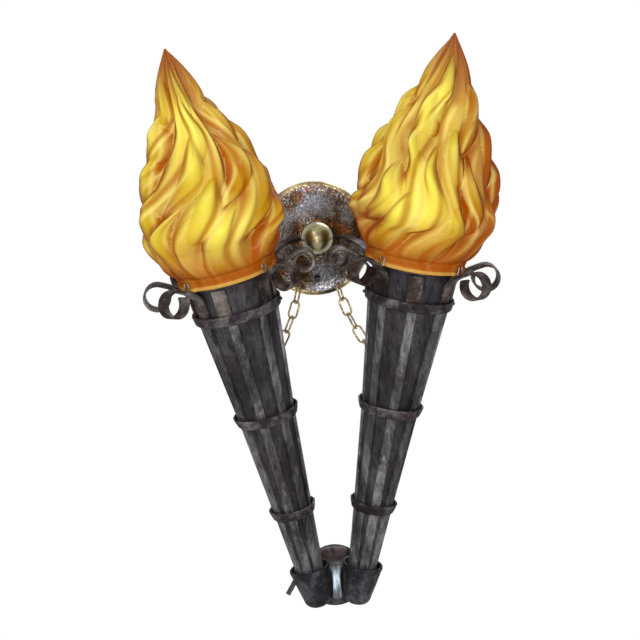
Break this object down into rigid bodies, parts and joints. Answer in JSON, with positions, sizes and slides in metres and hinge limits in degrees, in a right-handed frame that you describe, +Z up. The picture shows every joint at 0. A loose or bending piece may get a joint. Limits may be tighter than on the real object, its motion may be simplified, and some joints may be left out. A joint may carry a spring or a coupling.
{
  "type": "torch sconce",
  "caption": "Double wall sconce: two iron torches in a V with amber glass flames, scrolled straps, a round hammered backplate with a ball nut, and thimble cups at the foot.",
  "frame": {"origin": "middle of the backplate on the wall, where the wall box screws centre", "axes": "+Z up, +X to the right as seen from the room, +Y into the wall, so the lamp stands out along -Y"},
  "size_m": [0.35, 0.2047, 0.5613],
  "materials": {
    "plate_brass": "hammered, patinated",
    "worn_iron": "worn",
    "brass": "aged",
    "ball_brass": "aged, polished",
    "body_iron": "forged, waxed",
    "rib_iron": "forged, waxed",
    "band_iron": "forged, waxed",
    "scroll_iron": "forged, rust-tinted",
    "pin_steel": "dull",
    "flame_glass": "satin amber",
    "lamp_glass": "frosted",
    "porcelain": "glazed",
    "chain_brass": "aged",
    "cup_iron": "forged, waxed",
    "iron": "forged"
  },
  "bodies": {
    "sconce": {"backplate": "plate_brass", "crossbar": "worn_iron", "nipple": "brass", "lock_nut": "brass", "plate_screw": "worn_iron", "arm_left": "scroll_iron", "arm_right": "scroll_iron", "arm_rivets": "worn_iron", "foot_plate": "iron", "foot_bar": "worn_iron", "cup_left": "cup_iron", "cup_right": "cup_iron", "clamp_screw": "iron", "torch_body_left": "body_iron", "torch_body_right": "body_iron", "rib_straps_left": "rib_iron", "rib_straps_right": "rib_iron", "low_band_left": "band_iron", "low_band_right": "band_iron", "middle_band_left": "band_iron", "middle_band_right": "band_iron", "top_band_left": "band_iron", "top_band_right": "band_iron", "band_rivets_left": "iron", "band_rivets_right": "iron", "plain_straps_left": "scroll_iron", "plain_straps_right": "scroll_iron", "side_scrolls_left": "scroll_iron", "side_scrolls_right": "scroll_iron", "front_scrolls_left": "scroll_iron", "front_scrolls_right": "scroll_iron", "rear_scroll_left": "scroll_iron", "rear_scroll_right": "scroll_iron", "seat_ring_left": "iron", "seat_ring_right": "iron", "shade_pins_left": "pin_steel", "shade_pins_right": "pin_steel", "foot_plug_left": "iron", "foot_plug_right": "iron", "holder_bridge_left": "iron", "holder_bridge_right": "iron", "holder_stem_left": "brass", "holder_stem_right": "brass", "lamp_holder_left": "porcelain", "lamp_holder_right": "porcelain", "chain_eyes": "chain_brass"},
    "shade_left": {"shade_left": "flame_glass"},
    "shade_right": {"shade_right": "flame_glass"},
    "bulb_left": {"bulb_left": "lamp_glass"},
    "bulb_right": {"bulb_right": "lamp_glass"},
    "ball": {"ball_nut": "ball_brass"},
    "chain_left": {"chain_left": "chain_brass"},
    "chain_right": {"chain_right": "chain_brass"}
  },
  "joints": [
    {"name": "shade_left_lift", "type": "slide", "parent": "sconce", "child": "shade_left", "axis": [-0.2034, -0.2079, 0.9568], "range_m": [0, 0.11]},
    {"name": "bulb_left_turn", "type": "hinge", "parent": "sconce", "child": "bulb_left", "pos_m": [-0.09037, -0.10279, -0.0289], "axis": [-0.2034, -0.2079, 0.9568], "continuous": true},
    {"name": "chain_left_swing", "type": "hinge", "parent": "sconce", "child": "chain_left", "pos_m": [-0.02, -0.0168, -0.049], "axis": [-0.4698, -0.204, -0.8588], "range_deg": [-11, 11]},
    {"name": "shade_right_lift", "type": "slide", "parent": "sconce", "child": "shade_right", "axis": [0.2034, -0.2079, 0.9568], "range_m": [0, 0.11]},
    {"name": "bulb_right_turn", "type": "hinge", "parent": "sconce", "child": "bulb_right", "pos_m": [0.09037, -0.10279, -0.0289], "axis": [0.2034, -0.2079, 0.9568], "continuous": true},
    {"name": "chain_right_swing", "type": "hinge", "parent": "sconce", "child": "chain_right", "pos_m": [0.02, -0.0168, -0.049], "axis": [0.4698, -0.204, -0.8588], "range_deg": [-11, 11]},
    {"name": "ball_turn", "type": "hinge", "parent": "sconce", "child": "ball", "pos_m": [0, -0.05, 0], "axis": [0, -1, 0], "continuous": true}
  ]
}
